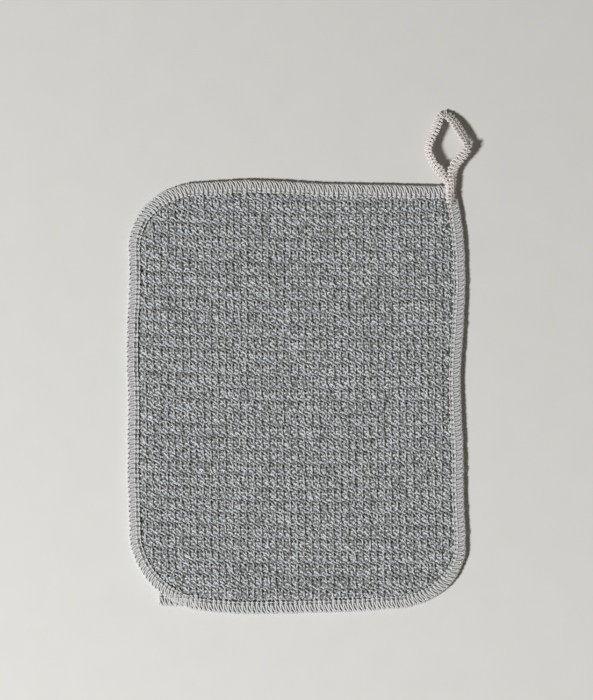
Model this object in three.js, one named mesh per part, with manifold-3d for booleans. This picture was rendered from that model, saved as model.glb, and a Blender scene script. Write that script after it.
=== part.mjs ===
// A knitted face cloth lying flat: a ridged knit panel, the overlock seam that binds its cut edge,
// and a loop of overlocked tape standing out from the square corner, to hang the cloth by.
// Millimetres, +Z up. Plan values are in the cloth's own plan, x across it and y up its length,
// measured from its lower left; the whole cloth is centred on the origin at the end.

import * as THREE from 'three';
import { mergeVertices } from 'three/addons/utils/BufferGeometryUtils.js';
import Module from 'manifold-3d';

const wasm = await Module();
wasm.setup();

// Where neighbouring sides of the cut panel would meet, and the radius each corner is rounded to.
const CORNERS = [
  { name: 'lower left', x: 0.4, y: 4.4, round: 40 },
  { name: 'lower belly', x: 69, y: -0.2, round: 480 },
  { name: 'lower right', x: 169, y: 1.8, round: 35 },
  { name: 'right shoulder', x: 168.9, y: 185, round: 250 },
  { name: 'loop corner', x: 165.2, y: 214.6, round: 1.6 },
  { name: 'upper left', x: 0.8, y: 216.2, round: 36 },
];
const SHARPEST = 0.6;

// Slow in and out of the stretched edge, as whole waves round the cloth.
const RIPPLES = [
  { waves: 5, height: 0.7, lag: -1.56 },
  { waves: 6, height: 0.4, lag: 2.37 },
  { waves: 10, height: 0.3, lag: 2.79 },
  { waves: 12, height: 0.25, lag: -0.46 },
];

const GAP = 0.3;
const MERGE_WITHIN = 1e-4;

// Knit panel: pairs of raised purl courses over pairs of sunk plain ones, the courses bowed.
const PANEL_THICK = 2.8;
const RIB_PITCH = 6.25;
const RIB_DEPTH = 0.5;
const RIBS = 37;
const COURSE_SAG = 3.2;
const COURSE_LOW_X = 105;
const SLAB_WIDTH = 180;
const SLAB_MIDDLE_X = 85;
const SLAB_COLUMNS = 6;
const PANEL_INSET = 6.8;

// The panel's raw rim, pressed thin by the seam that wraps it.
const RIM_INSET = 1.5;
const RIM_LOW = 0.9;
const RIM_HIGH = 1.6;
const RIM_STEPS = 140;

// Overlock seam, as points round its section: how far in from the edge and how high, on a stitch
// and between two stitches. The first five rows are its outside, the rest the slot for the rim.
const STITCHES = 296;
const SEAM_SECTION = [
  { at: 'inner foot', inset: 6, height: 0, lowInset: 6, lowHeight: 0 },
  { at: 'outer foot', inset: 0.6, height: 0, lowInset: 0.8, lowHeight: 0 },
  { at: 'edge', inset: 0, height: 1.4, lowInset: 0.35, lowHeight: 1.4 },
  { at: 'crown', inset: 1.6, height: 2.9, lowInset: 1.7, lowHeight: 2.45 },
  { at: 'inner lip', inset: 6.3, height: 2.4, lowInset: 5.7, lowHeight: 2.15 },
  { at: 'slot top', inset: 1.1, height: 1.9, lowInset: 1.1, lowHeight: 1.9 },
  { at: 'slot foot', inset: 1.1, height: 0.6, lowInset: 1.1, lowHeight: 0.6 },
];
const SEAM_OUTSIDE = 5;
const SEAM_HEIGHT = 2.9;

// Blunt start of the seam, run on straight past the lower left curve and fused to the seam's edge.
const TAIL = { fromX: 15.8, fromY: 3.95, toX: 36, toY: 3.1, steps: 17 };
const TAIL_OVERLAP = 0.9;

// Hanging loop: overlocked tape, both its feet sewn down side by side under one neck.
const TAPE_WIDTH = 5.2;
const TAPE_THICK = 1.7;
const TAPE_SIDES = 8;
const TAPE_STITCHES = 56;
const TAPE_HOLLOW = { width: 0.95, thick: 0.78 };
const NECK_HEIGHT = SEAM_HEIGHT + GAP + TAPE_THICK / 2;
const NECK = [
  { x: 162, y: 204.6, z: NECK_HEIGHT, roll: 0, wide: 0.75 },
  { x: 162.1, y: 208, z: NECK_HEIGHT, roll: 0, wide: 1 },
  { x: 162.1, y: 212, z: NECK_HEIGHT, roll: 0, wide: 1 },
  { x: 162.2, y: 215.6, z: NECK_HEIGHT + 0.1, roll: 0, wide: 0.85 },
];
const NECK_STITCHES = 6;

// The tape's middle line, its roll in degrees (outer edge up) and its width as a share of the tape.
const LOOP = [
  { at: 'right foot', x: 163.2, y: 210.5, z: 4.1, roll: 0, wide: 0.45 },
  { at: 'right rise', x: 163.3, y: 215.3, z: 4.1, roll: 0, wide: 0.76 },
  { at: 'right leg start', x: 163, y: 219.4, z: 3.9, roll: 2, wide: 0.96 },
  { at: 'right leg', x: 163.5, y: 222.4, z: 4, roll: 4, wide: 0.95 },
  { at: 'right leg middle', x: 165, y: 225.2, z: 4.2, roll: 4, wide: 0.93 },
  { at: 'right leg end', x: 167.4, y: 227.8, z: 4.6, roll: 6, wide: 0.92 },
  { at: 'before the kink', x: 169.5, y: 230.6, z: 4.9, roll: 4, wide: 0.92 },
  { at: 'kink', x: 170.3, y: 232.5, z: 4.9, roll: 0, wide: 0.86 },
  { at: 'past the kink', x: 169.9, y: 234.2, z: 4.2, roll: -4, wide: 0.72 },
  { at: 'upper right foot', x: 169.3, y: 236, z: 3.7, roll: -4, wide: 0.78 },
  { at: 'upper right', x: 168.1, y: 238.6, z: 3.4, roll: -4, wide: 0.9 },
  { at: 'upper right end', x: 166.1, y: 242, z: 3.1, roll: -4, wide: 0.95 },
  { at: 'tip right', x: 163.5, y: 245.8, z: 2.6, roll: -6, wide: 0.92 },
  { at: 'tip', x: 160.4, y: 248.8, z: 1.8, roll: -10, wide: 0.84 },
  { at: 'tip left', x: 157.6, y: 248.4, z: 1.7, roll: -14, wide: 0.84 },
  { at: 'upper left', x: 156, y: 245.2, z: 2.5, roll: -16, wide: 0.9 },
  { at: 'left top', x: 154.1, y: 240.6, z: 3.4, roll: -20, wide: 0.92 },
  { at: 'left', x: 151.7, y: 235.6, z: 3.9, roll: -24, wide: 0.85 },
  { at: 'left low', x: 151, y: 230.6, z: 3.8, roll: -24, wide: 0.8 },
  { at: 'left leg', x: 152.6, y: 226.4, z: 3.5, roll: -22, wide: 0.84 },
  { at: 'left leg end', x: 154.1, y: 223.8, z: 3.5, roll: -20, wide: 0.84 },
  { at: 'lump', x: 155.8, y: 221.8, z: 3.55, roll: -16, wide: 0.96 },
  { at: 'left leg start', x: 157.6, y: 219.5, z: 3.8, roll: -8, wide: 0.86 },
  { at: 'left rise', x: 159.6, y: 217, z: 4.1, roll: 0, wide: 0.76 },
  { at: 'left turn', x: 160.6, y: 214, z: 4.1, roll: 0, wide: 0.6 },
  { at: 'left foot', x: 161, y: 210.5, z: 4.1, roll: 0, wide: 0.45 },
];

const KNIT = new THREE.MeshStandardMaterial({ color: 0x878988, roughness: 0.95, metalness: 0 });
const SEAM_THREAD = new THREE.MeshStandardMaterial({ color: 0xa8a6a4, roughness: 0.9, metalness: 0 });
const TAPE_THREAD = new THREE.MeshStandardMaterial({ color: 0xc4bcb6, roughness: 0.9, metalness: 0 });

// The cloth's edge moved inwards, as a chain of arcs and straight sides in a fixed order.
function edgePath(inset) {
  const sides = CORNERS.map((corner, k) => {
    const next = CORNERS[(k + 1) % CORNERS.length];
    const along = new THREE.Vector2(next.x - corner.x, next.y - corner.y).normalize();
    const start = new THREE.Vector2(corner.x - along.y * inset, corner.y + along.x * inset);
    return { start, along };
  });
  const path = new THREE.Path();
  CORNERS.forEach((corner, k) => {
    const before = sides.at(k - 1);
    const after = sides[k];
    const reach = after.start.clone().sub(before.start).cross(after.along) / before.along.cross(after.along);
    const turn = Math.asin(before.along.cross(after.along));
    const radius = Math.max(corner.round - inset, SHARPEST);
    const touch = before.start.clone().addScaledVector(before.along, reach - radius * Math.tan(turn / 2));
    const facing = Math.atan2(before.along.y, before.along.x) - Math.PI / 2;
    const centreX = touch.x - Math.cos(facing) * radius;
    const centreY = touch.y - Math.sin(facing) * radius;
    path.absarc(centreX, centreY, radius, facing, facing + turn, false);
  });
  return path.closePath();
}

const runEnds = edgePath(0).getCurveLengths();
const edgeLength = runEnds.at(-1);

// Evenly spaced places along the edge, each known by its run of the chain and the share of that run.
function edgeStations(count) {
  return Array.from({ length: count }, (_, i) => {
    const along = edgeLength * i / count;
    const run = runEnds.findIndex((end) => end > along);
    const runStart = run > 0 ? runEnds[run - 1] : 0;
    return { along, run, share: (along - runStart) / (runEnds[run] - runStart) };
  });
}

function pointOnEdge(path, station) {
  const curve = path.curves[station.run];
  const tangent = curve.getTangent(station.share);
  const turns = 2 * Math.PI * station.along / edgeLength;
  const swell = RIPPLES.reduce((sum, wave) => sum + wave.height * Math.sin(wave.waves * turns + wave.lag), 0);
  const outward = new THREE.Vector2(tangent.y, -tangent.x);
  return curve.getPoint(station.share).addScaledVector(outward, swell);
}

// A solid of the cloth's outline, moved inwards, between two heights.
function outlinePlate(inset, low, high) {
  const path = edgePath(inset);
  const outline = new THREE.Shape(edgeStations(RIM_STEPS).map((station) => pointOnEdge(path, station)));
  return new THREE.ExtrudeGeometry(outline, { depth: high - low, bevelEnabled: false }).translate(0, 0, low);
}

// Sections joined in order into one closed body, as a ring or with a flat cap at both ends.
function loft(sections, isRing) {
  const size = sections[0].length;
  const spans = isRing ? sections.length : sections.length - 1;
  const index = [];
  for (let i = 0; i < spans; i += 1) {
    const here = i * size;
    const ahead = ((i + 1) % sections.length) * size;
    for (let j = 0; j < size; j += 1) {
      const next = (j + 1) % size;
      index.push(here + j, ahead + j, ahead + next);
      index.push(here + j, ahead + next, here + next);
    }
  }
  const last = (sections.length - 1) * size;
  for (let j = 1; j < size - 1 && !isRing; j += 1) {
    index.push(0, j, j + 1);
    index.push(last, last + j + 1, last + j);
  }
  const geometry = new THREE.BufferGeometry().setFromPoints(sections.flat());
  return geometry.setIndex(index);
}

function solidOf(geometry) {
  const bare = geometry.clone();
  bare.deleteAttribute('normal');
  bare.deleteAttribute('uv');
  const merged = mergeVertices(bare, MERGE_WITHIN);
  const vertProperties = new Float32Array(merged.attributes.position.array);
  const triVerts = new Uint32Array(merged.index.array);
  return new wasm.Manifold(new wasm.Mesh({ numProp: 3, vertProperties, triVerts }));
}

function geometryOf(solid) {
  const { vertProperties, triVerts } = solid.getMesh();
  const geometry = new THREE.BufferGeometry();
  geometry.setAttribute('position', new THREE.BufferAttribute(vertProperties, 3));
  geometry.setIndex(new THREE.BufferAttribute(triVerts, 1));
  geometry.computeVertexNormals();
  return geometry;
}

// Knit with its ribs raised in the upper face, over a flat underside.
function ribbedSlab() {
  const length = RIBS * RIB_PITCH;
  const slab = new THREE.BoxGeometry(SLAB_WIDTH, length, PANEL_THICK, SLAB_COLUMNS, RIBS * 2, 1);
  slab.translate(SLAB_MIDDLE_X, length / 2 - RIB_PITCH, PANEL_THICK / 2);
  const place = slab.attributes.position;
  for (let i = 0; i < place.count; i += 1) {
    const row = Math.round(place.getY(i) / (RIB_PITCH / 2));
    const isSunk = row % 2 !== 0 && place.getZ(i) > PANEL_THICK / 2;
    const fromLow = (place.getX(i) - COURSE_LOW_X) / COURSE_LOW_X;
    place.setY(i, place.getY(i) - COURSE_SAG * (1 - fromLow ** 2));
    place.setZ(i, place.getZ(i) - (isSunk ? RIB_DEPTH : 0));
  }
  return slab;
}

function knitPanel() {
  const field = solidOf(ribbedSlab()).intersect(solidOf(outlinePlate(PANEL_INSET, -GAP, PANEL_THICK + GAP)));
  return field.add(solidOf(outlinePlate(RIM_INSET, RIM_LOW, RIM_HIGH)));
}

function seamRing() {
  const paths = SEAM_SECTION.map((row) => ({ on: edgePath(row.inset), between: edgePath(row.lowInset) }));
  const sections = edgeStations(STITCHES * 2).map((station, i) => SEAM_SECTION.map((row, k) => {
    const isStitch = i % 2 === 0;
    const point = pointOnEdge(isStitch ? paths[k].on : paths[k].between, station);
    return new THREE.Vector3(point.x, point.y, isStitch ? row.height : row.lowHeight);
  }));
  return loft(sections, true);
}

function seamTail() {
  const from = new THREE.Vector2(TAIL.fromX, TAIL.fromY);
  const to = new THREE.Vector2(TAIL.toX, TAIL.toY);
  const along = to.clone().sub(from).normalize();
  const inward = new THREE.Vector2(-along.y, along.x);
  const sections = Array.from({ length: TAIL.steps + 1 }, (_, i) => {
    const middle = from.clone().lerp(to, i / TAIL.steps);
    return SEAM_SECTION.slice(0, SEAM_OUTSIDE).map((row) => {
      const isStitch = i % 2 === 0;
      const point = middle.clone().addScaledVector(inward, isStitch ? row.inset : row.lowInset);
      return new THREE.Vector3(point.x, point.y, isStitch ? row.height : row.lowHeight);
    });
  });
  return loft(sections, false);
}

function overlockSeam() {
  const inside = solidOf(outlinePlate(TAIL_OVERLAP, -GAP, SEAM_HEIGHT + GAP));
  return solidOf(seamRing()).add(solidOf(seamTail()).subtract(inside));
}

// Flat tape with a soft oval section, swept along a table of places with its roll and width.
function tape(rows, stitches) {
  const line = new THREE.CatmullRomCurve3(rows.map((row) => new THREE.Vector3(row.x, row.y, row.z)));
  const upright = new THREE.Vector3(0, 0, 1);
  const steps = stitches * 2;
  const sections = Array.from({ length: steps + 1 }, (_, i) => {
    const share = line.getUtoTmapping(i / steps);
    const middle = line.getPoint(share);
    const forward = line.getTangent(share);
    const row = Math.min(Math.floor(share * (rows.length - 1)), rows.length - 2);
    const part = share * (rows.length - 1) - row;
    const roll = THREE.MathUtils.degToRad(THREE.MathUtils.lerp(rows[row].roll, rows[row + 1].roll, part));
    const isStitch = i % 2 === 0;
    const wide = THREE.MathUtils.lerp(rows[row].wide, rows[row + 1].wide, part);
    const halfWidth = TAPE_WIDTH / 2 * wide * (isStitch ? 1 : TAPE_HOLLOW.width);
    const halfThick = TAPE_THICK / 2 * (isStitch ? 1 : TAPE_HOLLOW.thick);
    const across = forward.clone().cross(upright).normalize();
    const rise = across.clone().cross(forward);
    across.applyAxisAngle(forward, -roll);
    rise.applyAxisAngle(forward, -roll);
    return Array.from({ length: TAPE_SIDES }, (_, j) => {
      const angle = 2 * Math.PI * (j + 0.5) / TAPE_SIDES;
      const point = middle.clone().addScaledVector(across, halfWidth * Math.cos(angle));
      return point.addScaledVector(rise, halfThick * Math.sin(angle));
    });
  });
  return loft(sections, false);
}

function hangingLoop() {
  return solidOf(tape(LOOP, TAPE_STITCHES)).add(solidOf(tape(NECK, NECK_STITCHES)));
}

function piece(name, solid, material) {
  const mesh = new THREE.Mesh(geometryOf(solid), material);
  mesh.name = name;
  return mesh;
}

const cloth = new THREE.Group();
cloth.add(piece('knit_panel', knitPanel(), KNIT));
cloth.add(piece('overlock_seam', overlockSeam(), SEAM_THREAD));
cloth.add(piece('hanging_loop', hangingLoop(), TAPE_THREAD));

// The origin is under the middle of the whole cloth, loop and all.
const middle = new THREE.Box3().setFromObject(cloth).getCenter(new THREE.Vector3());
cloth.position.set(-middle.x, -middle.y, 0);

export default cloth;
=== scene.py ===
import math
from collections import namedtuple

import bpy
import numpy as np
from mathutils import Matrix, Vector


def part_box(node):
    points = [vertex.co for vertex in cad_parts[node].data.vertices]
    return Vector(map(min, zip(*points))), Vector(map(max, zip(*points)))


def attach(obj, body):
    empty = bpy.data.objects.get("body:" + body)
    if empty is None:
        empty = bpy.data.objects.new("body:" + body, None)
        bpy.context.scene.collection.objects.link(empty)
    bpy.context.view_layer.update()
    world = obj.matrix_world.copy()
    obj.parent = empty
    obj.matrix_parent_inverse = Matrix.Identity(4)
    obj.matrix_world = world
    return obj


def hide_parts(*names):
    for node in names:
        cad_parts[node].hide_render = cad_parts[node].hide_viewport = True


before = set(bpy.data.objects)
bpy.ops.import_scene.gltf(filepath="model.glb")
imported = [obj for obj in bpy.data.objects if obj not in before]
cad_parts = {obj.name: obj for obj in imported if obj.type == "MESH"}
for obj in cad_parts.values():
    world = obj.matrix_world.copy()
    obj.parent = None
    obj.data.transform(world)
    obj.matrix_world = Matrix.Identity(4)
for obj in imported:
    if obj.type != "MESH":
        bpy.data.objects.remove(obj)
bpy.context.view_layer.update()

# The view
# A camera hung straight above the cloth, with the cloth's length up the picture. The picture is 593 by
# 700 pixels, and at the cloth about two pixels make one millimetre.
MM = 0.001
VIEW_HEIGHT = 348.8 * MM
VIEW_MIDDLE = (-0.85 * MM, 6.35 * MM)
CLOTH_TOP = 2.8 * MM
LENS = 85.0
SENSOR = 36.0


def placed(name, data):
    """An object of some data, put in the scene at the origin."""
    thing = bpy.data.objects.new(name, data)
    bpy.context.scene.collection.objects.link(thing)
    return thing


camera_data = bpy.data.cameras.new("camera")
camera_data.lens = LENS
camera_data.sensor_width = SENSOR
camera = placed("camera", camera_data)
camera.location = (*VIEW_MIDDLE, CLOTH_TOP + VIEW_HEIGHT * LENS / SENSOR)
bpy.context.scene.camera = camera


# Knit ground
# The cut piece of weft knit as a thin closed sheet: three large round corners, one left square. It is
# the dark depth that shows between the loops of yarn, and it carries them and the sewn edge. Its dark
# grey, darker than the yarn's, is painted shade.
Corner = namedtuple("Corner", "x y round")
CORNERS = (
    Corner(0.4 * MM, 4.4 * MM, 40 * MM),       # lower left
    Corner(69 * MM, -0.2 * MM, 480 * MM),      # lower belly
    Corner(169 * MM, 1.8 * MM, 35 * MM),       # lower right
    Corner(168.9 * MM, 185 * MM, 250 * MM),    # right shoulder
    Corner(165.2 * MM, 214.6 * MM, 1.6 * MM),  # the square corner, where the loop is sewn on
    Corner(0.8 * MM, 216.2 * MM, 36 * MM),     # upper left
)
SHARPEST = 0.6 * MM
# The slow waves of the cut edge, each with its number of waves in one round
Ripple = namedtuple("Ripple", "waves height lag")
RIPPLES = (
    Ripple(5, 0.7 * MM, -1.56),
    Ripple(6, 0.4 * MM, 2.37),
    Ripple(10, 0.3 * MM, 2.79),
    Ripple(12, 0.25 * MM, -0.46),
)
TURN = 2 * math.pi
Arc = namedtuple("Arc", "middle radius facing turn")


def across(first, second):
    """How far the second direction turns to the left of the first, as a signed area."""
    return first[0] * second[1] - first[1] * second[0]


def edge_arcs(inset):
    """The round corners of the cut edge, moved in by inset, counter-clockwise."""
    points = [np.array((corner.x, corner.y)) for corner in CORNERS]
    starts, ways = [], []
    for here, there in zip(points, points[1:] + points[:1]):
        way = (there - here) / np.linalg.norm(there - here)
        starts.append(here + inset * np.array((-way[1], way[0])))
        ways.append(way)
    arcs = []
    for number, corner in enumerate(CORNERS):
        before, after = ways[number - 1], ways[number]
        reach = across(starts[number] - starts[number - 1], after) / across(before, after)
        turn = math.asin(across(before, after))
        radius = max(corner.round - inset, SHARPEST)
        touch = starts[number - 1] + before * (reach - radius * math.tan(turn / 2))
        facing = math.atan2(before[1], before[0]) - math.pi / 2
        middle = touch - radius * np.array((math.cos(facing), math.sin(facing)))
        arcs.append(Arc(middle, radius, facing, turn))
    return arcs


def on_arc(arc, share):
    """Points a share of the way along an arc, and the outward directions there."""
    angle = arc.facing + np.asarray(share) * arc.turn
    outward = np.stack((np.cos(angle), np.sin(angle)), axis=-1)
    return arc.middle + arc.radius * outward, outward


cut_arcs = edge_arcs(0)
run_lengths = []
for number, arc in enumerate(cut_arcs):
    next_arc = cut_arcs[(number + 1) % len(cut_arcs)]
    run_lengths.append(arc.radius * arc.turn)
    run_lengths.append(np.linalg.norm(on_arc(next_arc, 0)[0] - on_arc(arc, 1)[0]))
run_ends = np.cumsum(run_lengths)
EDGE_LENGTH = run_ends[-1]


def edge_at(along, inset):
    """Points of the edge at lengths along the cut, moved in by inset, and the outward directions there."""
    along = np.mod(along, EDGE_LENGTH)
    run = np.minimum(np.searchsorted(run_ends, along, side="right"), len(run_ends) - 1)
    share = 1 - (run_ends[run] - along) / np.array(run_lengths)[run]
    swell = np.zeros(along.shape)
    for ripple in RIPPLES:
        swell += ripple.height * np.sin(ripple.waves * TURN * along / EDGE_LENGTH + ripple.lag)
    points = np.zeros(along.shape + (2,))
    outward = np.zeros(along.shape + (2,))
    arcs = edge_arcs(inset)
    for number, arc in enumerate(arcs):
        on = run == 2 * number
        points[on], outward[on] = on_arc(arc, share[on])
        on = run == 2 * number + 1
        leave, way_out = on_arc(arc, 1)
        arrive = on_arc(arcs[(number + 1) % len(arcs)], 0)[0]
        points[on] = leave + share[on][:, None] * (arrive - leave)
        outward[on] = way_out
    return points + outward * swell[:, None], outward


EDGE_POINTS = 2400
all_round = np.arange(EDGE_POINTS) * EDGE_LENGTH / EDGE_POINTS
lower_left = np.array(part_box("overlock_seam")[0][:2]) - edge_at(all_round, 0)[0].min(axis=0)


def to_edge(points):
    """How far points of the plan lie inside the cut edge; outside it the distance is negative."""
    edge, outward = edge_at(all_round, 0)
    distance = np.empty(len(points))
    for number, point in enumerate(points):
        gaps = point - edge - lower_left
        nearest = np.argmin((gaps ** 2).sum(axis=1))
        distance[number] = -gaps[nearest] @ outward[nearest]
    return distance


def smooth(low, high, value):
    """A soft step from 0 at low to 1 at high."""
    share = np.clip((value - low) / (high - low), 0, 1)
    return share * share * (3 - 2 * share)


RIB_PITCH = 6.25 * MM
SAG = 3.2 * MM
SAG_LOW_X = 105 * MM
RIB_RISE = 0.52 * MM
MIDDLE_Z = 1.48 * MM


def sag_at(x):
    """How far a row of loops hangs below its ends; x is in the frame."""
    return SAG * (1 - ((x - lower_left[0] - SAG_LOW_X) / SAG_LOW_X) ** 2)


def rib_at(points):
    """The height of the cross ridges over the cloth's middle plane."""
    row = points[:, 1] - lower_left[1] + sag_at(points[:, 0])
    return RIB_RISE * np.cos(TURN * row / RIB_PITCH)


GROUND_COLUMNS = 32
GROUND_ROWS = 208
GROUND_INSET = 4.6 * MM
GROUND_HALF_THICK = 0.16 * MM
PRESSED_TO = 9.2 * MM

# A grid of points stretched between the cloth's four sides
corner_along = run_ends[0::2] - np.array(run_lengths[0::2]) / 2
low_left, low_right, high_right, high_left = corner_along[[0, 2, 4, 5]]
bottom = edge_at(np.linspace(low_left, low_right, GROUND_COLUMNS + 1), GROUND_INSET)[0][None]
top = edge_at(np.linspace(high_left, high_right, GROUND_COLUMNS + 1), GROUND_INSET)[0][None]
left = edge_at(np.linspace(low_left + EDGE_LENGTH, high_left, GROUND_ROWS + 1), GROUND_INSET)[0][:, None]
right = edge_at(np.linspace(low_right, high_right, GROUND_ROWS + 1), GROUND_INSET)[0][:, None]
aside = np.linspace(0, 1, GROUND_COLUMNS + 1)[None, :, None]
upward = np.linspace(0, 1, GROUND_ROWS + 1)[:, None, None]
low_corners = (1 - aside) * bottom[:, :1] + aside * bottom[:, -1:]
high_corners = (1 - aside) * top[:, :1] + aside * top[:, -1:]
plan = (1 - upward) * (bottom - low_corners) + upward * (top - high_corners)
plan = plan + (1 - aside) * left + aside * right
plan = plan.reshape(-1, 2) + lower_left
plane = MIDDLE_Z + rib_at(plan) * smooth(GROUND_INSET, PRESSED_TO, to_edge(plan))
upper_points = np.c_[plan, plane + GROUND_HALF_THICK]
lower_points = np.c_[plan, plane - GROUND_HALF_THICK]
ground_points = np.concatenate((upper_points, lower_points))

width = GROUND_COLUMNS + 1
count = len(plan)
corner = (np.arange(GROUND_ROWS)[:, None] * width + np.arange(GROUND_COLUMNS)).ravel()
upper = np.stack((corner, corner + 1, corner + width + 1, corner + width), axis=1)
border = np.concatenate((
    np.arange(width),
    np.arange(1, GROUND_ROWS + 1) * width + GROUND_COLUMNS,
    GROUND_ROWS * width + np.arange(GROUND_COLUMNS - 1, -1, -1),
    np.arange(GROUND_ROWS - 1, 0, -1) * width,
))
after = np.roll(border, -1)
wall = np.stack((border, border + count, after + count, after), axis=1)
ground_faces = np.concatenate((upper, upper[:, ::-1] + count, wall))


def new_piece(name, points, faces):
    """An object at the origin with a smooth mesh of these points and faces."""
    mesh = bpy.data.meshes.new(name)
    mesh.from_pydata(points.tolist(), [], faces)
    mesh.shade_smooth()
    return placed(name, mesh)


class Value:
    """A node's output that takes part in Python sums; each sum adds a node to the output's tree."""

    def __init__(self, tree, socket=None):
        self.tree = tree
        self.socket = socket

    def node(self, kind, settings=None, sockets=None, output=0):
        """Any other node: its type, its settings, its sockets' values or links, and the output wanted."""
        made = self.tree.nodes.new(kind)
        for name, setting in (settings or {}).items():
            setattr(made, name, setting)
        for name, value in (sockets or {}).items():
            if isinstance(value, Value):
                self.tree.links.new(value.socket, made.inputs[name])
            else:
                made.inputs[name].default_value = value
        return Value(self.tree, made.outputs[output])

    def maths(self, operation, *values):
        return self.node("ShaderNodeMath", {"operation": operation}, dict(enumerate(values)))

    def mix(self, first, second):
        """A colour between two colours, by this value."""
        sockets = {"Factor": self, 6: first, 7: second}
        return self.node("ShaderNodeMix", {"data_type": "RGBA"}, sockets, output=2)

    def part(self, letter):
        return self.node("ShaderNodeSeparateXYZ", None, {0: self}, letter)

    def __add__(self, other):
        return self.maths("ADD", self, other)

    def __sub__(self, other):
        return self.maths("SUBTRACT", self, other)

    def __rsub__(self, other):
        return self.maths("SUBTRACT", other, self)

    def __mul__(self, other):
        return self.maths("MULTIPLY", self, other)

    def __truediv__(self, other):
        return self.maths("DIVIDE", self, other)

    def __pow__(self, other):
        return self.maths("POWER", self, other)

    def sine(self):
        return self.maths("SINE", self)

    def cosine(self):
        return self.maths("COSINE", self)

    def size(self):
        return self.maths("ABSOLUTE", self)

    __radd__ = __add__
    __rmul__ = __mul__


def new_finish(name, roughness):
    """A material, its shader and a value to start its expressions from."""
    material = bpy.data.materials.new(name)
    material.use_nodes = True
    shader = material.node_tree.nodes["Principled BSDF"]
    shader.inputs["Roughness"].default_value = roughness
    shader.inputs["Specular IOR Level"].default_value = 0.15
    return material, shader, Value(material.node_tree)


def join(value, socket):
    value.tree.links.new(value.socket, socket)


def knit_depth_painted_shade():
    """Painted shade for the knit's depth: dark grey, darker than the yarn, flecked at the scale of the
    yarn's plies.
    """
    material, shader, start = new_finish("knit_depth_painted_shade", 0.95)
    place = start.node("ShaderNodeTexCoord", output="Object")
    flecks = start.node("ShaderNodeTexNoise", None, {"Vector": place, "Scale": 900.0, "Detail": 2.0})
    # painted shade: this dark grey stands for the shade deep between the loops of yarn
    colour = flecks.mix((0.06, 0.061, 0.061, 1), (0.24, 0.242, 0.242, 1))
    join(colour, shader.inputs["Base Color"])
    bump = start.node("ShaderNodeBump", None, {"Strength": 0.6, "Distance": 0.2 * MM, "Height": flecks})
    join(bump, shader.inputs["Normal"])
    return material


# The ground's dark colour is painted shade for the depth of the knit
knit_ground = new_piece("knit_ground", ground_points, ground_faces.tolist())
knit_ground.data.materials.append(knit_depth_painted_shade())
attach(knit_ground, "root")
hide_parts("knit_panel")


# Knit courses
# Rows of interlocked loops of a two-ply marled yarn, light grey and dark grey twisted together. One plain
# course and three purl courses come over and over, which makes the cloth's low cross ridges.
WALE = 3.6 * MM
RIBS = 36
KNIT_WIDTH = 172 * MM
KNIT_INSET = 6.5 * MM
LINE_STEP = 1.2 * MM
FEWEST_POINTS = 4
BANDS = 4
LOOP_STEPS = 12
OVERLAP = 0.96
PLAIN = 1.0
PURL = -1.0
COURSES_IN_RIB = (PLAIN, PURL, PURL, PURL)
COURSE_PITCH = RIB_PITCH / len(COURSES_IN_RIB)

Course = namedtuple("Course", "row sign")
Line = namedtuple("Line", "points course row reach sign next_sign press")


def course_lines():
    """The lowest to the highest course inside the sewn edge, each a line of points from left to right."""
    courses = [Course(rib * RIB_PITCH + (place + 0.5) * COURSE_PITCH, sign)
               for rib in range(RIBS) for place, sign in enumerate(COURSES_IN_RIB)]
    columns = np.arange(0, KNIT_WIDTH, LINE_STEP) + lower_left[0]
    lines = []
    for number in range(1, len(courses) - 1):
        below, here, above = courses[number - 1:number + 2]
        up = OVERLAP * (above.row - here.row)
        down = OVERLAP * (here.row - below.row)
        row = here.row + (up - down) / 2
        points = np.stack((columns, row - sag_at(columns) + lower_left[1]), axis=1)
        room = to_edge(points)
        inside = np.flatnonzero(room > KNIT_INSET)
        if len(inside) < FEWEST_POINTS:
            continue
        inside = slice(inside[0], inside[-1] + 1)
        press = smooth(KNIT_INSET, PRESSED_TO, room[inside])
        reach = (up + down) / 2
        line = Line(points[inside], number, row / RIB_PITCH, reach, here.sign, above.sign, press)
        lines.append(line)
    return lines


def mesh_of_lines(name, lines):
    """A mesh of loose lines with each line's facts kept on its points."""
    points = np.concatenate([np.c_[line.points, np.full(len(line.points), MIDDLE_Z)] for line in lines])
    ends = np.cumsum([len(line.points) for line in lines])
    firsts = np.setdiff1d(np.arange(ends[-1]), ends - 1)
    mesh = bpy.data.meshes.new(name)
    mesh.from_pydata(points.tolist(), np.stack((firsts, firsts + 1), axis=1).tolist(), [])
    for fact in Line._fields[1:]:
        values = [np.broadcast_to(getattr(line, fact), len(line.points)) for line in lines]
        mesh.attributes.new(fact, "FLOAT", "POINT").data.foreach_set("value", np.concatenate(values))
    return mesh


def new_tree(name, sizes):
    """An empty tree with a named input for each size, and the inputs as values."""
    tree = bpy.data.node_groups.new(name, "GeometryNodeTree")
    tree.interface.new_socket("Geometry", in_out="INPUT", socket_type="NodeSocketGeometry")
    tree.interface.new_socket("Geometry", in_out="OUTPUT", socket_type="NodeSocketGeometry")
    tree.interface.new_socket("Material", in_out="INPUT", socket_type="NodeSocketMaterial")
    for size, value in sizes.items():
        tree.interface.new_socket(size, in_out="INPUT", socket_type="NodeSocketFloat").default_value = value
    given = tree.nodes.new("NodeGroupInput")
    return tree, {socket.name: Value(tree, socket) for socket in given.outputs if socket.name}


def kept(start, name, kind="FLOAT"):
    """A fact kept on the points of a line."""
    return start.node("GeometryNodeInputNamedAttribute", {"data_type": kind}, {"Name": name})


STRAND_SIDES = 5


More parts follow.
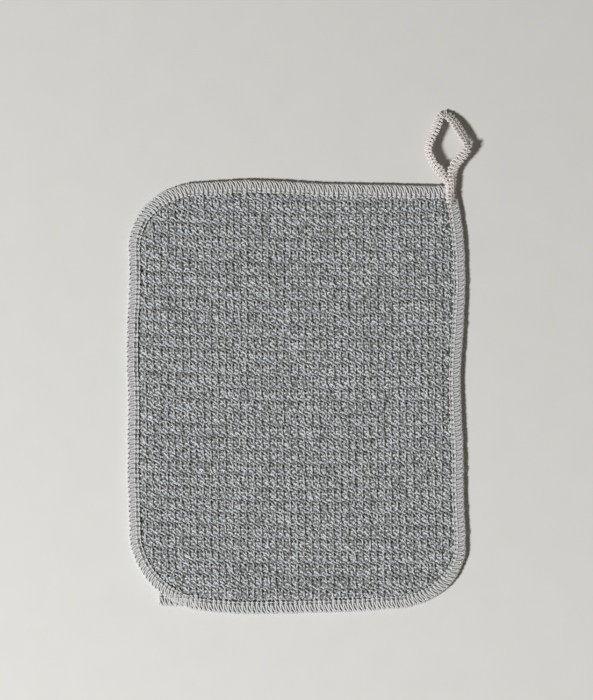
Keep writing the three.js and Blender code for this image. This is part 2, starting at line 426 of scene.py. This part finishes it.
def spin(start, line, radius, material):
    """The end of a tree: a round strand along a line, which keeps its length along and its turn around."""
    profile = start.node("GeometryNodeCurvePrimitiveCircle", None, {
        "Resolution": STRAND_SIDES, "Radius": 1.0})
    share = start.node("GeometryNodeSplineParameter", output="Factor")
    length = start.node("GeometryNodeSplineParameter", output="Length")
    profile = start.node("GeometryNodeStoreNamedAttribute", None,
                         {"Geometry": profile, "Name": "around", "Value": share})
    line = start.node("GeometryNodeStoreNamedAttribute", None,
                      {"Geometry": line, "Name": "along", "Value": length})
    strand = start.node("GeometryNodeCurveToMesh", None, {
        "Curve": line, "Profile Curve": profile, "Scale": radius, "Fill Caps": True})
    strand = start.node("GeometryNodeSetShadeSmooth", None, {"Geometry": strand})
    strand = start.node("GeometryNodeRealizeInstances", None, {"Geometry": strand})
    strand = start.node("GeometryNodeSetMaterial", None, {"Geometry": strand, "Material": material})
    end = start.tree.nodes.new("NodeGroupOutput")
    join(strand, end.inputs["Geometry"])


def knit_tree():
    """Loops of yarn along each course: heads and feet bend round the neighbouring courses' loops.

    Each course lies a little to the right of the one below, by one wale in each rib.
    """
    tree, size = new_tree("knit_loops", {
        "Wale": WALE, "Wales aside per rib": 1.0, "Loop lean": 0.82 * MM, "Loop shear": 0.3,
        "Loop tilt": 0.7 * MM, "Depth": 0.42 * MM, "Rib pitch": RIB_PITCH, "Rib rise": RIB_RISE,
        "Yarn radius": 0.58 * MM, "Step": WALE / LOOP_STEPS, "Drift aside": 2.5 * MM,
        "Drift upward": 0.5 * MM, "Drifts per metre": 300.0, "Seed": 3.0,
    })
    start = Value(tree)
    line = start.node("GeometryNodeMeshToCurve", None, {"Mesh": size["Geometry"]})
    line = start.node("GeometryNodeResampleCurve", {"mode": "LENGTH"}, {
        "Curve": line, "Length": size["Step"]})
    place = start.node("GeometryNodeInputPosition")
    drift = start.node("ShaderNodeTexNoise", {"noise_dimensions": "4D"}, {
        "Vector": place, "W": size["Seed"], "Scale": size["Drifts per metre"], "Detail": 1.0}, "Color")
    drift = start.node("ShaderNodeVectorMath", {"operation": "SUBTRACT"}, {0: drift, 1: (0.5, 0.5, 0.5)})
    drift_sizes = start.node("ShaderNodeCombineXYZ", None, {
        "X": size["Drift aside"], "Y": size["Drift aside"], "Z": size["Drift upward"]})
    turn = (place.part("X") / size["Wale"] - kept(start, "row") * size["Wales aside per rib"]) * TURN
    swing = turn.cosine()
    head = ((swing + 1) * 0.5) ** 2
    foot = ((1 - swing) * 0.5) ** 2
    leg = turn.sine() ** 2
    sign, next_sign = kept(start, "sign"), kept(start, "next_sign")
    reach = kept(start, "reach") * swing
    rib = ((kept(start, "row") + reach / size["Rib pitch"]) * TURN).cosine() * size["Rib rise"]
    depth = (sign * leg - next_sign * head - sign * foot) * size["Depth"]
    rise = (rib + depth) * kept(start, "press")
    twice = (turn * 2).sine()
    offset = start.node("ShaderNodeCombineXYZ", None, {
        "X": twice * size["Loop lean"] + reach * size["Loop shear"],
        "Y": reach - twice * size["Loop tilt"],
        "Z": rise,
    })
    offset = start.node("ShaderNodeVectorMath", {"operation": "MULTIPLY_ADD"}, {
        0: drift, 1: drift_sizes, 2: offset})
    line = start.node("GeometryNodeSetPosition", None, {"Geometry": line, "Offset": offset})
    spin(start, line, size["Yarn radius"], size["Material"])
    return tree


def grown(name, lines, tree, sizes):
    """The plain mesh that a tree makes of some lines."""
    piece = placed(name, lines)
    modifier = piece.modifiers.new(name, "NODES")
    modifier.node_group = tree
    for socket in tree.interface.items_tree:
        if socket.in_out == "INPUT" and socket.name in sizes:
            modifier[socket.identifier] = sizes[socket.name]
    evaluated = piece.evaluated_get(bpy.context.evaluated_depsgraph_get())
    mesh = bpy.data.meshes.new_from_object(evaluated)
    piece.modifiers.clear()
    piece.data = mesh
    return piece


def read_fact(mesh, name):
    values = np.empty(len(mesh.attributes[name].data), dtype=np.float32)
    mesh.attributes[name].data.foreach_get("value", values)
    return values


# Each strand's pattern starts this many millimetres after the last one's, so no two look alike
YARN_APART = 461.83
STRAND_GIRTH = 3 * MM
ROW_MARGIN = 0.05
# A face that spans more of a whole turn or a whole strand than this crosses the place where it starts again
WRAP_SPAN = 0.7


def unwrap(piece, strand):
    """Two maps for strands: millimetres along and turns around, and one that lays them all in rows."""
    mesh = piece.data
    corner_point = np.empty(len(mesh.loops), dtype=np.int32)
    mesh.loops.foreach_get("vertex_index", corner_point)
    sizes = np.empty(len(mesh.polygons), dtype=np.int32)
    mesh.polygons.foreach_get("loop_total", sizes)
    face = np.repeat(np.arange(len(sizes)), sizes)
    number = read_fact(mesh, strand).astype(int)[corner_point]
    number -= number.min()
    around = read_fact(mesh, "around")[corner_point].astype(float)
    along = read_fact(mesh, "along")[corner_point].astype(float)
    lengths = np.zeros(number.max() + 1)
    np.maximum.at(lengths, number, along)
    for values, whole in ((around, np.ones(len(face))), (along, lengths[number])):
        highest = np.zeros(len(sizes))
        np.maximum.at(highest, face, values)
        values += whole * (highest[face] - values > whole * WRAP_SPAN)
    yarn = mesh.uv_layers.new(name="yarn")
    yarn.data.foreach_set("uv", np.c_[along / MM + number * YARN_APART, around].astype(np.float32).ravel())
    laid = along + (np.cumsum(lengths) - lengths)[number]
    face_start = np.full(len(sizes), np.inf)
    np.minimum.at(face_start, face, laid)
    rows = math.ceil(math.sqrt(lengths.sum() / STRAND_GIRTH))
    row_length = (lengths.sum() + STRAND_GIRTH) / rows
    row = np.floor(face_start / row_length)[face]
    map_x = (laid - row * row_length) / (row_length + STRAND_GIRTH)
    map_y = (row + ROW_MARGIN + (1 - 2 * ROW_MARGIN) * around) / rows
    bake = mesh.uv_layers.new(name="OFBake")
    bake.data.foreach_set("uv", np.c_[map_x, map_y].astype(np.float32).ravel())


# The millimetres of yarn in one turn of its plies, and how much each thing sways the yarn's tone
TWIST = 4.0
SLACK_TURNS = 5.0
FIBRE_RING = 1.8
FIBRE_STRETCH = 0.5
TWIST_SHARE = 0.9
FIBRE_SHARE = 5.0
PATCH_SHARE = 1.2
MOTTLE_SHARE = 0.9
FIBRE_HEIGHT = 0.8


def marled_yarn():
    """Two plies twisted together, one light grey and one dark grey, with fibres across them."""
    material, shader, start = new_finish("marled_yarn", 0.9)
    shader.inputs["Sheen Weight"].default_value = 0.15
    dark_grey = (0.192, 0.196, 0.198, 1)
    light_grey = (0.585, 0.606, 0.615, 1)
    place = start.node("ShaderNodeUVMap", {"uv_map": "yarn"})
    along, around = place.part("X"), place.part("Y")
    patch = start.node("ShaderNodeTexNoise", {"noise_dimensions": "1D"}, {"W": along, "Scale": 0.35})
    slack = start.node("ShaderNodeTexNoise", {"noise_dimensions": "1D"}, {
        "W": along, "Scale": 0.12, "Detail": 2.0})
    turn = (along / TWIST - around + slack * SLACK_TURNS) * TURN
    fibre_place = start.node("ShaderNodeCombineXYZ", None, {
        "X": along * FIBRE_STRETCH,
        "Y": (around * TURN).cosine() * FIBRE_RING,
        "Z": (around * TURN).sine() * FIBRE_RING,
    })
    fibres = start.node("ShaderNodeTexNoise", None, {"Vector": fibre_place, "Scale": 1.6, "Detail": 2.0})
    cloth_place = start.node("ShaderNodeTexCoord", output="Object")
    mottle = start.node("ShaderNodeTexNoise", None, {"Vector": cloth_place, "Scale": 110.0, "Detail": 2.0})
    ply = (turn.sine() * TWIST_SHARE + (fibres - 0.5) * FIBRE_SHARE
           + (patch - 0.5) * PATCH_SHARE + (mottle - 0.5) * MOTTLE_SHARE)
    light = start.node("ShaderNodeMapRange", {"interpolation_type": "SMOOTHSTEP"}, {
        "Value": ply, "From Min": -0.9, "From Max": 0.8})
    join(light.mix(dark_grey, light_grey), shader.inputs["Base Color"])
    height = turn.sine().size() + fibres * FIBRE_HEIGHT
    bump = start.node("ShaderNodeBump", None, {"Strength": 0.7, "Distance": 0.15 * MM, "Height": height})
    join(bump, shader.inputs["Normal"])
    return material


knit_lines = course_lines()
yarn_finish = marled_yarn()
loops = knit_tree()
knit_courses = []
for band, share in enumerate(np.array_split(np.arange(len(knit_lines)), BANDS)):
    name = f"knit_courses_{band + 1}"
    lines = mesh_of_lines(name, [knit_lines[number] for number in share])
    courses = grown(name, lines, loops, {"Material": yarn_finish})
    unwrap(courses, "course")
    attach(courses, "root")
    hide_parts("knit_panel")
    knit_courses.append(courses)


# Overlock seam
# Light grey thread sewn over the cut edge all the way round: two loopers that cross the edge on top and
# below, their lock along the rim, and two needle threads that hold them down in chains.
STITCHES = 296
SEAM_STEPS = 16
SEAM_MIDDLE = 1.42 * MM
SEAM_UNEVEN = 0.35

Run = namedtuple("Run", "points inward rise stitch cup closed pitch")


def stitch_lines(name, run, strand):
    """A mesh of one line with what its stitches need kept on its points."""
    count = len(run.points)
    firsts = np.arange(count if run.closed else count - 1)
    mesh = bpy.data.meshes.new(name)
    mesh.from_pydata(run.points.tolist(), np.stack((firsts, (firsts + 1) % count), axis=1).tolist(), [])
    for fact, vectors in (("inward", run.inward), ("rise", run.rise)):
        mesh.attributes.new(fact, "FLOAT_VECTOR", "POINT").data.foreach_set("vector", vectors.ravel())
    for fact, values in (("stitch", run.stitch), ("cup", run.cup), ("strand", np.full(count, strand))):
        mesh.attributes.new(fact, "FLOAT", "POINT").data.foreach_set("value", values)
    return mesh


def stitch_tree():
    """A looper's thread: from the rim over the cloth to the needle line and back, once for each stitch."""
    tree, size = new_tree("looper_thread", {
        "Pitch": EDGE_LENGTH / STITCHES, "Inset": 0.3 * MM, "Reach": 5.9 * MM, "Uneven": 0.0,
        "Lift": 1.0 * MM, "Wrap": 7.0, "Gather": 2.2, "Slant": 0.0, "Thread radius": 0.3 * MM,
        "Wander": 0.25 * MM, "Wanders per metre": 420.0, "Cupped width": 5.2 * MM, "Seed": 11.0,
    })
    start = Value(tree)
    line = start.node("GeometryNodeMeshToCurve", None, {"Mesh": size["Geometry"]})
    stitch = kept(start, "stitch")
    share = stitch.maths("FRACT", stitch) - 0.5
    swing = (share * TURN).cosine() * 0.5 + 0.5
    chance = start.node("ShaderNodeTexWhiteNoise", {"noise_dimensions": "1D"}, {
        "W": stitch.maths("FLOOR", stitch) + size["Seed"]})
    inset = size["Inset"] + size["Reach"] * swing * (1 - chance * size["Uneven"])
    lift = size["Lift"] * (1 - (1 - swing) ** size["Wrap"])
    lift = lift - kept(start, "cup") * ((inset / size["Cupped width"]) ** 0.5 * math.pi).sine()
    side = share.maths("SIGN", share)
    gathered = (side * 0.5 * (share.size() * 2) ** size["Gather"] - share) * size["Pitch"]
    forward = gathered + size["Slant"] * (1 - swing) ** 2
    tangent = start.node("GeometryNodeInputTangent")
    place = start.node("GeometryNodeInputPosition")
    drift = start.node("ShaderNodeTexNoise", {"noise_dimensions": "4D"}, {
        "Vector": place, "W": size["Seed"], "Scale": size["Wanders per metre"], "Detail": 1.0}, "Color")
    drift = start.node("ShaderNodeVectorMath", {"operation": "SUBTRACT"}, {0: drift, 1: (0.5, 0.5, 0.5)})
    offset = start.node("ShaderNodeVectorMath", {"operation": "SCALE"}, {0: drift, "Scale": size["Wander"]})
    for way, amount in ((kept(start, "inward", "FLOAT_VECTOR"), inset),
                        (kept(start, "rise", "FLOAT_VECTOR"), lift), (tangent, forward)):
        stretch = start.node("ShaderNodeVectorMath", {"operation": "SCALE"}, {0: way, "Scale": amount})
        offset = start.node("ShaderNodeVectorMath", {"operation": "ADD"}, {0: stretch, 1: offset})
    line = start.node("GeometryNodeSetPosition", None, {"Geometry": line, "Offset": offset})
    spin(start, line, size["Thread radius"], size["Material"])
    return tree


THREAD_TWIST = 0.9
THREAD_PLIES = 2
THREAD_TWIST_SHARE = 0.35


def sewing_thread(name, light, dark):
    """A soft spun thread: pale, with a fine twist whose slanted lines are painted shade in the grooves
    between its plies, and patches of lighter and darker tone.
    """
    material, shader, start = new_finish(name, 0.85)
    shader.inputs["Sheen Weight"].default_value = 0.2
    place = start.node("ShaderNodeUVMap", {"uv_map": "yarn"})
    along, around = place.part("X"), place.part("Y")
    twist = ((along / THREAD_TWIST + around * THREAD_PLIES) * TURN).sine() * 0.5 + 0.5
    patch = start.node("ShaderNodeTexNoise", {"noise_dimensions": "1D"}, {
        "W": along, "Scale": 0.6, "Detail": 2.0})
    # the twist's darker lines are painted shade in the ply grooves; the patches are the thread's own uneven
    # tone
    shade = twist * THREAD_TWIST_SHARE + patch * (1 - THREAD_TWIST_SHARE)
    join(shade.mix(dark, light), shader.inputs["Base Color"])
    bump = start.node("ShaderNodeBump", None, {"Strength": 0.5, "Distance": 0.08 * MM, "Height": twist})
    join(bump, shader.inputs["Normal"])
    return material


def joined(name, pieces):
    """One object of several, with their meshes, maps and materials."""
    with bpy.context.temp_override(active_object=pieces[0], selected_editable_objects=pieces):
        bpy.ops.object.join()
    pieces[0].name = name
    return pieces[0]


Strand = namedtuple("Strand", "name inset reach lift wrap gather slant radius wander")
LOOPERS = (
    Strand("upper_looper", 0.3 * MM, 6.8 * MM, 0.8 * MM, 12.0, 1.0, 1.8 * MM, 0.42 * MM, 0.9 * MM),
    Strand("rim_lock", 0.4 * MM, 1.7 * MM, 0.85 * MM, 4.0, 0.9, 0.6 * MM, 0.34 * MM, 1.0 * MM),
    Strand("lower_looper", 0.3 * MM, 6.6 * MM, -0.9 * MM, 12.0, 1.8, 1.6 * MM, 0.38 * MM, 0.4 * MM),
)
NEEDLES = (
    Strand("outer_needle", 4.0 * MM, 0.8 * MM, 1.1 * MM, 2.2, 1.0, 0.5 * MM, 0.36 * MM, 0.7 * MM),
    Strand("inner_needle", 5.8 * MM, 0.6 * MM, 1.0 * MM, 2.2, 1.0, 0.5 * MM, 0.36 * MM, 0.7 * MM),
)
seam_finish = sewing_thread("seam_thread", (0.71, 0.708, 0.702, 1), (0.455, 0.455, 0.451, 1))
looper = stitch_tree()


def sew(name, run, strands, uneven, finish):
    """One object of all the strands sewn along a line."""
    sewn = []
    for number, strand in enumerate(strands):
        lines = stitch_lines(strand.name, run, number)
        thread = grown(strand.name, lines, looper, {
            "Material": finish, "Pitch": run.pitch, "Inset": strand.inset, "Reach": strand.reach,
            "Lift": strand.lift, "Wrap": strand.wrap, "Gather": strand.gather, "Slant": strand.slant,
            "Thread radius": strand.radius, "Wander": strand.wander, "Uneven": uneven,
        })
        sewn.append(thread)
    threads = joined(name, sewn)
    unwrap(threads, "strand")
    return threads


seam_count = STITCHES * SEAM_STEPS
seam_along = np.arange(seam_count) * EDGE_LENGTH / seam_count
rim_points, outward = edge_at(seam_along, 0)
rim_points = np.c_[rim_points + lower_left, np.full(seam_count, SEAM_MIDDLE)]
seam_run = Run(
    points=rim_points,
    inward=np.c_[-outward, np.zeros(seam_count)],
    rise=np.tile((0.0, 0.0, 1.0), (seam_count, 1)),
    stitch=np.arange(seam_count) / SEAM_STEPS,
    cup=np.zeros(seam_count),
    closed=True,
    pitch=EDGE_LENGTH / STITCHES,
)
seam_loopers = sew("seam_loopers", seam_run, LOOPERS, SEAM_UNEVEN, seam_finish)
seam_needles = sew("seam_needles", seam_run, NEEDLES, SEAM_UNEVEN, seam_finish)

BED_MIDDLE = 3.5 * MM
BED_HALF_WIDTH = 2.8 * MM
BED_HALF_THICK = 0.8 * MM
BED_SIDES = 10
BED_STEPS = 720


def ring_faces(count, sides, closed):
    """The side faces of a tube of rings of points, one ring after another, open or joined end to end."""
    ring = np.arange(count if closed else count - 1)[:, None] * sides
    first = (ring + np.arange(sides)).ravel()
    beside = (ring + (np.arange(sides) + 1) % sides).ravel()
    return np.stack((first, beside, beside + sides, first + sides), axis=1) % (count * sides)


def thread_painted_shade(name, dark, light):
    """Painted shade for the lower layers of a sewn thread: a grey darker than the thread, for the shade
    between the upper ones.
    """
    material, shader, start = new_finish(name, 0.95)
    place = start.node("ShaderNodeTexCoord", output="Object")
    flecks = start.node("ShaderNodeTexNoise", None, {"Vector": place, "Scale": 1500.0, "Detail": 2.0})
    join(flecks.mix(dark, light), shader.inputs["Base Color"])
    return material


bed_along = np.arange(BED_STEPS) * EDGE_LENGTH / BED_STEPS
bed_rings = []
for angle in np.arange(BED_SIDES) * TURN / BED_SIDES:
    flat_edge, _ = edge_at(bed_along, BED_MIDDLE - BED_HALF_WIDTH * math.cos(angle))
    height = np.full(BED_STEPS, SEAM_MIDDLE + BED_HALF_THICK * math.sin(angle))
    bed_rings.append(np.c_[flat_edge + lower_left, height])
bed_points = np.stack(bed_rings, axis=1).reshape(-1, 3)
seam_bed = new_piece("seam_bed", bed_points, ring_faces(BED_STEPS, BED_SIDES, True).tolist())
# The seam bed's dark grey is painted shade between the upper threads, over the pale lower thread layers
seam_bed.data.materials.append(thread_painted_shade("seam_painted_shade", (0.16, 0.16, 0.16, 1), (0.48, 0.48, 0.475, 1)))

# The blunt end at the lower left, where the seam runs on past its start
TAIL_FROM = np.array((15.8 * MM, 3.95 * MM))
TAIL_TO = np.array((36.0 * MM, 3.1 * MM))
TAIL_STITCHES = 8
tail_count = TAIL_STITCHES * SEAM_STEPS + 1
tail_length = np.linalg.norm(TAIL_TO - TAIL_FROM)
tail_way = (TAIL_TO - TAIL_FROM) / tail_length
tail_points = np.linspace(TAIL_FROM, TAIL_TO, tail_count) + lower_left
tail_run = Run(
    points=np.c_[tail_points, np.full(tail_count, SEAM_MIDDLE)],
    inward=np.tile((-tail_way[1], tail_way[0], 0.0), (tail_count, 1)),
    rise=np.tile((0.0, 0.0, 1.0), (tail_count, 1)),
    stitch=np.arange(tail_count) / SEAM_STEPS,
    cup=np.zeros(tail_count),
    closed=False,
    pitch=tail_length / TAIL_STITCHES,
)
seam_tail = sew("seam_tail", tail_run, LOOPERS + NEEDLES, SEAM_UNEVEN, seam_finish)
seam_pieces = [seam_bed, seam_loopers, seam_needles, seam_tail]
for piece in seam_pieces:
    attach(piece, "root")
    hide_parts("overlock_seam")


# Hanging loop
# A length of overlocked tape in undyed thread, both ends sewn side by side onto the square corner. It
# stands up a little from the table, with a sharp kink in its right side, above which it is cupped.

# Bends are in millimetres from the cloth's lower left and the table, roll in degrees, wide as a share
Bend = namedtuple("Bend", "x y z roll wide cup")
LOOP = (
    Bend(163.1, 210.5, 3.1, -14, 0.5, 0.0),   # right foot
    Bend(163.2, 215.3, 2.9, -14, 0.82, 0.0),
    Bend(163.0, 219.4, 3.0, -10, 1.15, 0.0),
    Bend(163.5, 222.4, 3.6, 0, 1.1, 0.0),
    Bend(165.0, 225.2, 4.1, 4, 1.04, 0.0),
    Bend(167.4, 227.8, 4.6, 6, 1.0, 0.0),
    Bend(169.5, 230.6, 4.9, 4, 0.94, 0.0),
    Bend(170.3, 232.5, 4.9, 0, 0.86, 0.0),    # the kink
    Bend(169.9, 234.2, 4.2, -4, 0.76, 0.3),
    Bend(169.3, 236.0, 3.7, -4, 0.88, 0.6),
    Bend(168.1, 238.6, 3.4, -4, 1.04, 0.8),
    Bend(166.1, 242.0, 3.1, -4, 1.1, 0.8),
    Bend(163.5, 245.8, 2.6, -6, 1.06, 0.7),
    Bend(160.4, 248.8, 1.8, -10, 0.92, 0.4),  # the tip, close to the table
    Bend(157.6, 248.4, 1.7, -14, 0.86, 0.0),
    Bend(156.0, 245.2, 2.5, -16, 1.0, 0.0),
    Bend(154.1, 240.6, 3.4, -20, 1.02, 0.0),
    Bend(151.7, 235.6, 3.9, -24, 0.92, 0.0),
    Bend(151.0, 230.6, 3.8, -24, 0.82, 0.0),
    Bend(152.6, 226.4, 3.5, -22, 0.9, 0.0),
    Bend(154.1, 223.8, 3.5, -20, 0.9, 0.0),
    Bend(155.8, 221.8, 3.5, -16, 1.08, 0.0),  # a lump in the tape
    Bend(157.6, 219.5, 3.3, -8, 0.95, 0.0),
    Bend(159.6, 217.0, 3.2, 0, 0.85, 0.0),
    Bend(160.6, 214.0, 3.1, 0, 0.7, 0.0),
    Bend(161.0, 210.5, 3.2, 0, 0.5, 0.0),     # left foot
)
NECK = (
    Bend(162.0, 204.6, 3.0, -12, 0.75, 0.0),
    Bend(162.1, 208.0, 3.1, -12, 1.0, 0.0),
    Bend(162.1, 212.0, 3.1, -12, 1.0, 0.0),
    Bend(162.2, 215.6, 3.0, -12, 0.85, 0.0),
)
TAPE_WIDTH = 5.2 * MM
CORE_WIDTH = 4.2 * MM
CORE_HALF_THICK = 0.5 * MM
CORE_SIDES = 10
TAPE_STEPS = 12
FINE_STEPS = 40
LOOP_STITCHES = 48
NECK_STITCHES = 6
TAPE_UNEVEN = 0.12
TAPE_STRANDS = (
    Strand("tape_upper_looper", 0.25 * MM, 4.7 * MM, 0.55 * MM, 6.0, 1.6, 0.8 * MM, 0.42 * MM, 0.7 * MM),
    Strand("tape_cross_looper", 4.95 * MM, -3.6 * MM, 0.45 * MM, 6.0, 1.8, 0.4 * MM, 0.34 * MM, 0.8 * MM),
    Strand("tape_lower_looper", 0.25 * MM, 4.7 * MM, -0.55 * MM, 6.0, 2.0, 0.8 * MM, 0.42 * MM, 0.5 * MM),
    Strand("tape_needle", 2.4 * MM, 0.5 * MM, 0.75 * MM, 40.0, 1.0, 0.0, 0.28 * MM, 0.3 * MM),
)


def smooth_line(rows, count):
    """Points on a smooth curve through all the rows, at even shares of the row count."""
    rows = np.array(rows)
    padded = np.concatenate((2 * rows[:1] - rows[1:2], rows, 2 * rows[-1:] - rows[-2:-1]))
    place = np.linspace(0, len(rows) - 1, count)
    first = np.minimum(place.astype(int), len(rows) - 2)
    share = (place - first)[:, None]
    before, here, there, after = (padded[first + step] for step in range(4))
    pull = there - before
    bend = 2 * before - 5 * here + 4 * there - after
    twist = 3 * here - before - 3 * there + after
    return 0.5 * (2 * here + pull * share + bend * share ** 2 + twist * share ** 3)


def tape_frame(bends, stitches):
    """Along a tape: its middle line, the ways across and up, its width, cup, stitch count and length."""
    fine = smooth_line(bends, FINE_STEPS * len(bends))
    gaps = np.linalg.norm(np.diff(fine[:, :3], axis=0), axis=1)
    length = np.concatenate(((0,), np.cumsum(gaps)))
    even = np.linspace(0, length[-1], stitches * TAPE_STEPS + 1)
    x, y, z, roll, wide, cup = (np.interp(even, length, column) for column in fine.T)
    middle = np.stack((x, y, z), axis=1) * MM
    middle[:, :2] += lower_left
    tangent = np.gradient(middle, axis=0)
    tangent /= np.linalg.norm(tangent, axis=1)[:, None]
    flat = np.cross(tangent, (0, 0, 1))
    flat /= np.linalg.norm(flat, axis=1)[:, None]
    up = np.cross(flat, tangent)
    roll = np.radians(roll)[:, None]
    side = flat * np.cos(roll) + up * np.sin(roll)
    rise = up * np.cos(roll) - flat * np.sin(roll)
    return middle, side, rise, wide, cup * MM, even / length[-1] * stitches, length[-1] * MM


def tape_core(name, middle, side, rise, wide, cup, finish):
    """The closed flat ribbon inside the threads."""
    angles = np.arange(CORE_SIDES) * TURN / CORE_SIDES
    ring = np.stack((np.cos(angles) * CORE_WIDTH / 2, np.sin(angles) * CORE_HALF_THICK), axis=1)
    inset_share = (1 - np.cos(angles)) / 2
    height = ring[:, 1] - cup[:, None] * np.sin(math.pi * np.sqrt(inset_share))
    points = (middle[:, None] + side[:, None] * wide[:, None, None] * ring[None, :, :1]
              + rise[:, None] * height[:, :, None])
    count, sides = points.shape[:2]
    quads = ring_faces(count, sides, False).tolist()
    ends = [list(range(sides))[::-1], list(range((count - 1) * sides, count * sides))]
    core = new_piece(name, points.reshape(-1, 3), quads + ends)
    core.data.materials.append(finish)
    return core


tape_finish = sewing_thread("tape_thread", (0.80, 0.745, 0.718, 1), (0.58, 0.53, 0.505, 1))
# The tape's core: a dark warm grey, painted shade for the depth between its pale threads
tape_core_shade = thread_painted_shade("tape_painted_shade", (0.13, 0.115, 0.108, 1), (0.46, 0.42, 0.39, 1))
loop_pieces = []
for name, bends, stitches in (("loop", LOOP, LOOP_STITCHES), ("neck", NECK, NECK_STITCHES)):
    middle, side, rise, wide, cup, stitch, tape_length = tape_frame(bends, stitches)
    core = tape_core(f"{name}_core", middle, side, rise, wide, cup, tape_core_shade)
    outer_side = middle + side * wide[:, None] * TAPE_WIDTH / 2
    tape_run = Run(
        points=outer_side,
        inward=-side * wide[:, None],
        rise=rise,
        stitch=stitch,
        cup=cup,
        closed=False,
        pitch=tape_length / stitches,
    )
    threads = sew(f"{name}_threads", tape_run, TAPE_STRANDS, TAPE_UNEVEN, tape_finish)
    loop_pieces += [core, threads]
for piece in loop_pieces:
    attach(piece, "root")
    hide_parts("hanging_loop")

knit_courses + seam_pieces + loop_pieces


# Floor and light
# A plain pale warm grey table top. One square lamp stands off to the lower left, about as high as it is
# far off to the side and turned towards the front, and a weak even light comes from all round.
FLOOR_HALF = 1.5
FLOOR_DROP = 0.05 * MM
LAMP_PLACE = (-1.93, -1.02, 1.8)
LAMP_AIM = (1.25, -1.75, 0.0)
LAMP_SIZE = 0.5
LAMP_WATTS = 127.0
LAMP_COLOUR = (0.965, 0.977, 0.99)
SKY = (0.125, 0.115, 0.096, 1)


def table_top():
    """Pale matt board with a faint mottle."""
    material, shader, start = new_finish("table_top", 0.8)
    place = start.node("ShaderNodeTexCoord", output="Object")
    mottle = start.node("ShaderNodeTexNoise", None, {"Vector": place, "Scale": 60.0, "Detail": 5.0})
    join(mottle.mix((0.68, 0.665, 0.64, 1), (0.72, 0.705, 0.68, 1)), shader.inputs["Base Color"])
    return material


corners = np.array(((-1, -1), (1, -1), (1, 1), (-1, 1))) * FLOOR_HALF
floor = new_piece("floor", np.c_[corners, np.full(len(corners), -FLOOR_DROP)], [(0, 1, 2, 3)])
floor.data.materials.append(table_top())

lamp_data = bpy.data.lights.new("lamp", "AREA")
lamp_data.energy = LAMP_WATTS
lamp_data.size = LAMP_SIZE
lamp_data.color = LAMP_COLOUR
lamp = placed("lamp", lamp_data)
lamp.location = LAMP_PLACE
lamp.rotation_euler = (lamp.location - Vector(LAMP_AIM)).to_track_quat("Z", "Y").to_euler()

world = bpy.data.worlds.new("studio")
world.use_nodes = True
world.node_tree.nodes["Background"].inputs["Color"].default_value = SKY
bpy.context.scene.world = world
bpy.context.scene.view_settings.view_transform = "Standard"

bpy.context.view_layer.update()
